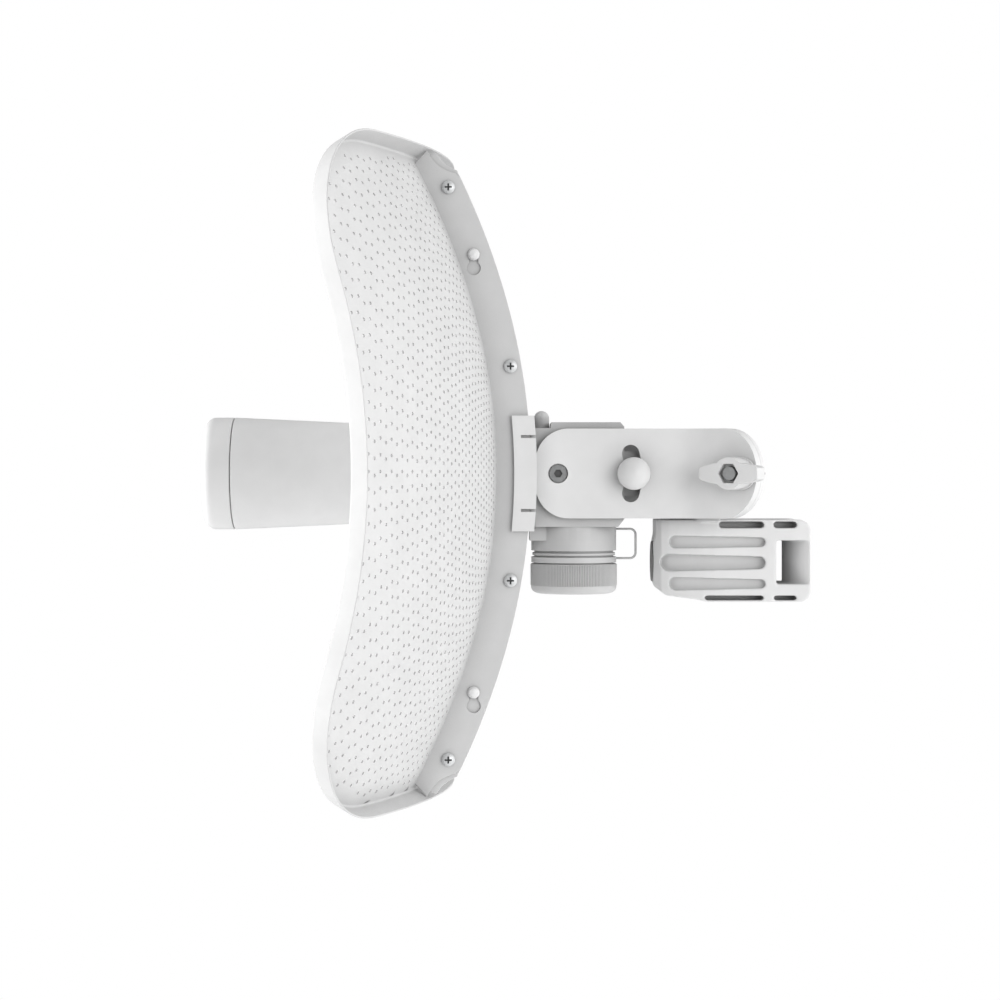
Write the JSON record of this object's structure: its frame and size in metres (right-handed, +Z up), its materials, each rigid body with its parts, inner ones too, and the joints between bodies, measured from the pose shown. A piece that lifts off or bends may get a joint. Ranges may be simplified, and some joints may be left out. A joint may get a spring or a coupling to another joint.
{
  "type": "outdoor wireless bridge",
  "caption": "Outdoor wireless bridge: three-panel parabolic dish with a tube feed, rear radio housing, tilting yoke and a strap-on mount for a vertical pole.",
  "frame": {"origin": "on the axis of the pole that the mount grips, at the middle of the seat's height", "axes": "+Z up along the pole, -X the way the dish faces, +Y across the dish"},
  "size_m": [0.2702, 0.358, 0.272],
  "materials": {
    "dish_sheet": "white powder coat",
    "feed_plastic": "fine moulded texture",
    "white_plastic": "fine moulded texture",
    "housing_plastic": "fine moulded texture",
    "grey_plastic": "light grey moulded texture",
    "plug_plastic": "dark grey moulded texture",
    "black_plastic": "satin",
    "zinc": "zinc plated",
    "peg_metal": "white powder coat",
    "dark_steel": "dark plated",
    "brass": "turned",
    "shield_metal": "tin plated sheet",
    "circuit_board": "solder mask",
    "rubber": "moulded"
  },
  "bodies": {
    "mount": {"pole_mount": "white_plastic", "mount_plug": "plug_plastic", "clamp_bolt": "zinc"},
    "wing": {"wing_nut": "feed_plastic"},
    "yoke": {"elevation_yoke": "white_plastic", "pivot_bushes": "zinc"},
    "antenna": {"dish_centre": "dish_sheet", "dish_wing_left": "dish_sheet", "dish_wing_right": "dish_sheet", "flange_screws": "zinc", "flange_nuts": "zinc", "hook_pegs": "peg_metal", "dish_cradle": "white_plastic", "feed_tube": "feed_plastic", "feed_cap": "feed_plastic", "feed_seal": "rubber", "subreflector": "shield_metal", "feed_board": "circuit_board", "feed_spacer": "white_plastic", "board_link": "black_plastic", "radio_board": "circuit_board", "rf_shield": "shield_metal", "ethernet_jack": "shield_metal", "reset_switch": "black_plastic", "rear_housing": "housing_plastic", "latch_spring": "zinc", "neck_gasket": "housing_plastic", "cap_tether": "grey_plastic", "pivot_inserts": "brass", "pivot_screws": "dark_steel", "tilt_bolt": "zinc", "tilt_washers": "zinc"},
    "knob": {"tilt_knob": "feed_plastic"},
    "latch": {"latch_button": "grey_plastic"},
    "reset": {"reset_button": "black_plastic"},
    "cap_carrier": {"cap_seal": "rubber"},
    "cap": {"port_cap": "grey_plastic"}
  },
  "joints": [
    {"name": "yoke_swing", "type": "hinge", "parent": "mount", "child": "yoke", "pos_m": [-0.0435, -0.03437, 0.0385], "axis": [0.5, 0.866, 0], "range_deg": [0, 40]},
    {"name": "dish_tilt", "type": "hinge", "parent": "yoke", "child": "antenna", "pos_m": [-0.1228, 0, 0.0385], "axis": [0, 1, 0], "range_deg": [-15, 15]},
    {"name": "knob_turn", "type": "hinge", "parent": "antenna", "child": "knob", "pos_m": [-0.0898, -0.028, 0.0385], "axis": [0, -1, 0], "continuous": true},
    {"name": "wing_turn", "type": "hinge", "parent": "mount", "child": "wing", "pos_m": [-0.0435, -0.03437, 0.0385], "axis": [-0.5, -0.866, 0], "continuous": true},
    {"name": "latch_press", "type": "slide", "parent": "antenna", "child": "latch", "axis": [0, 0, -1], "range_m": [0, 0.0015], "stiffness_N_per_m": 500, "springref_m": -0.001, "deforming": ["latch_spring"]},
    {"name": "reset_press", "type": "slide", "parent": "antenna", "child": "reset", "axis": [0, 0, 1], "range_m": [0, 0.0004], "stiffness_N_per_m": 800, "springref_m": -0.0003},
    {"name": "cap_travel", "type": "slide", "parent": "antenna", "child": "cap_carrier", "axis": [0, 0, -1], "range_m": [0, 0.0141]},
    {"name": "cap_turn", "type": "hinge", "parent": "cap_carrier", "child": "cap", "pos_m": [-0.1153, 0, -0.01], "axis": [0, 0, -1], "range_deg": [0, 560]}
  ],
  "couplings": [
    {"joint": "cap_travel", "follows": "cap_turn", "m_per_rad": 0.0014324}
  ]
}
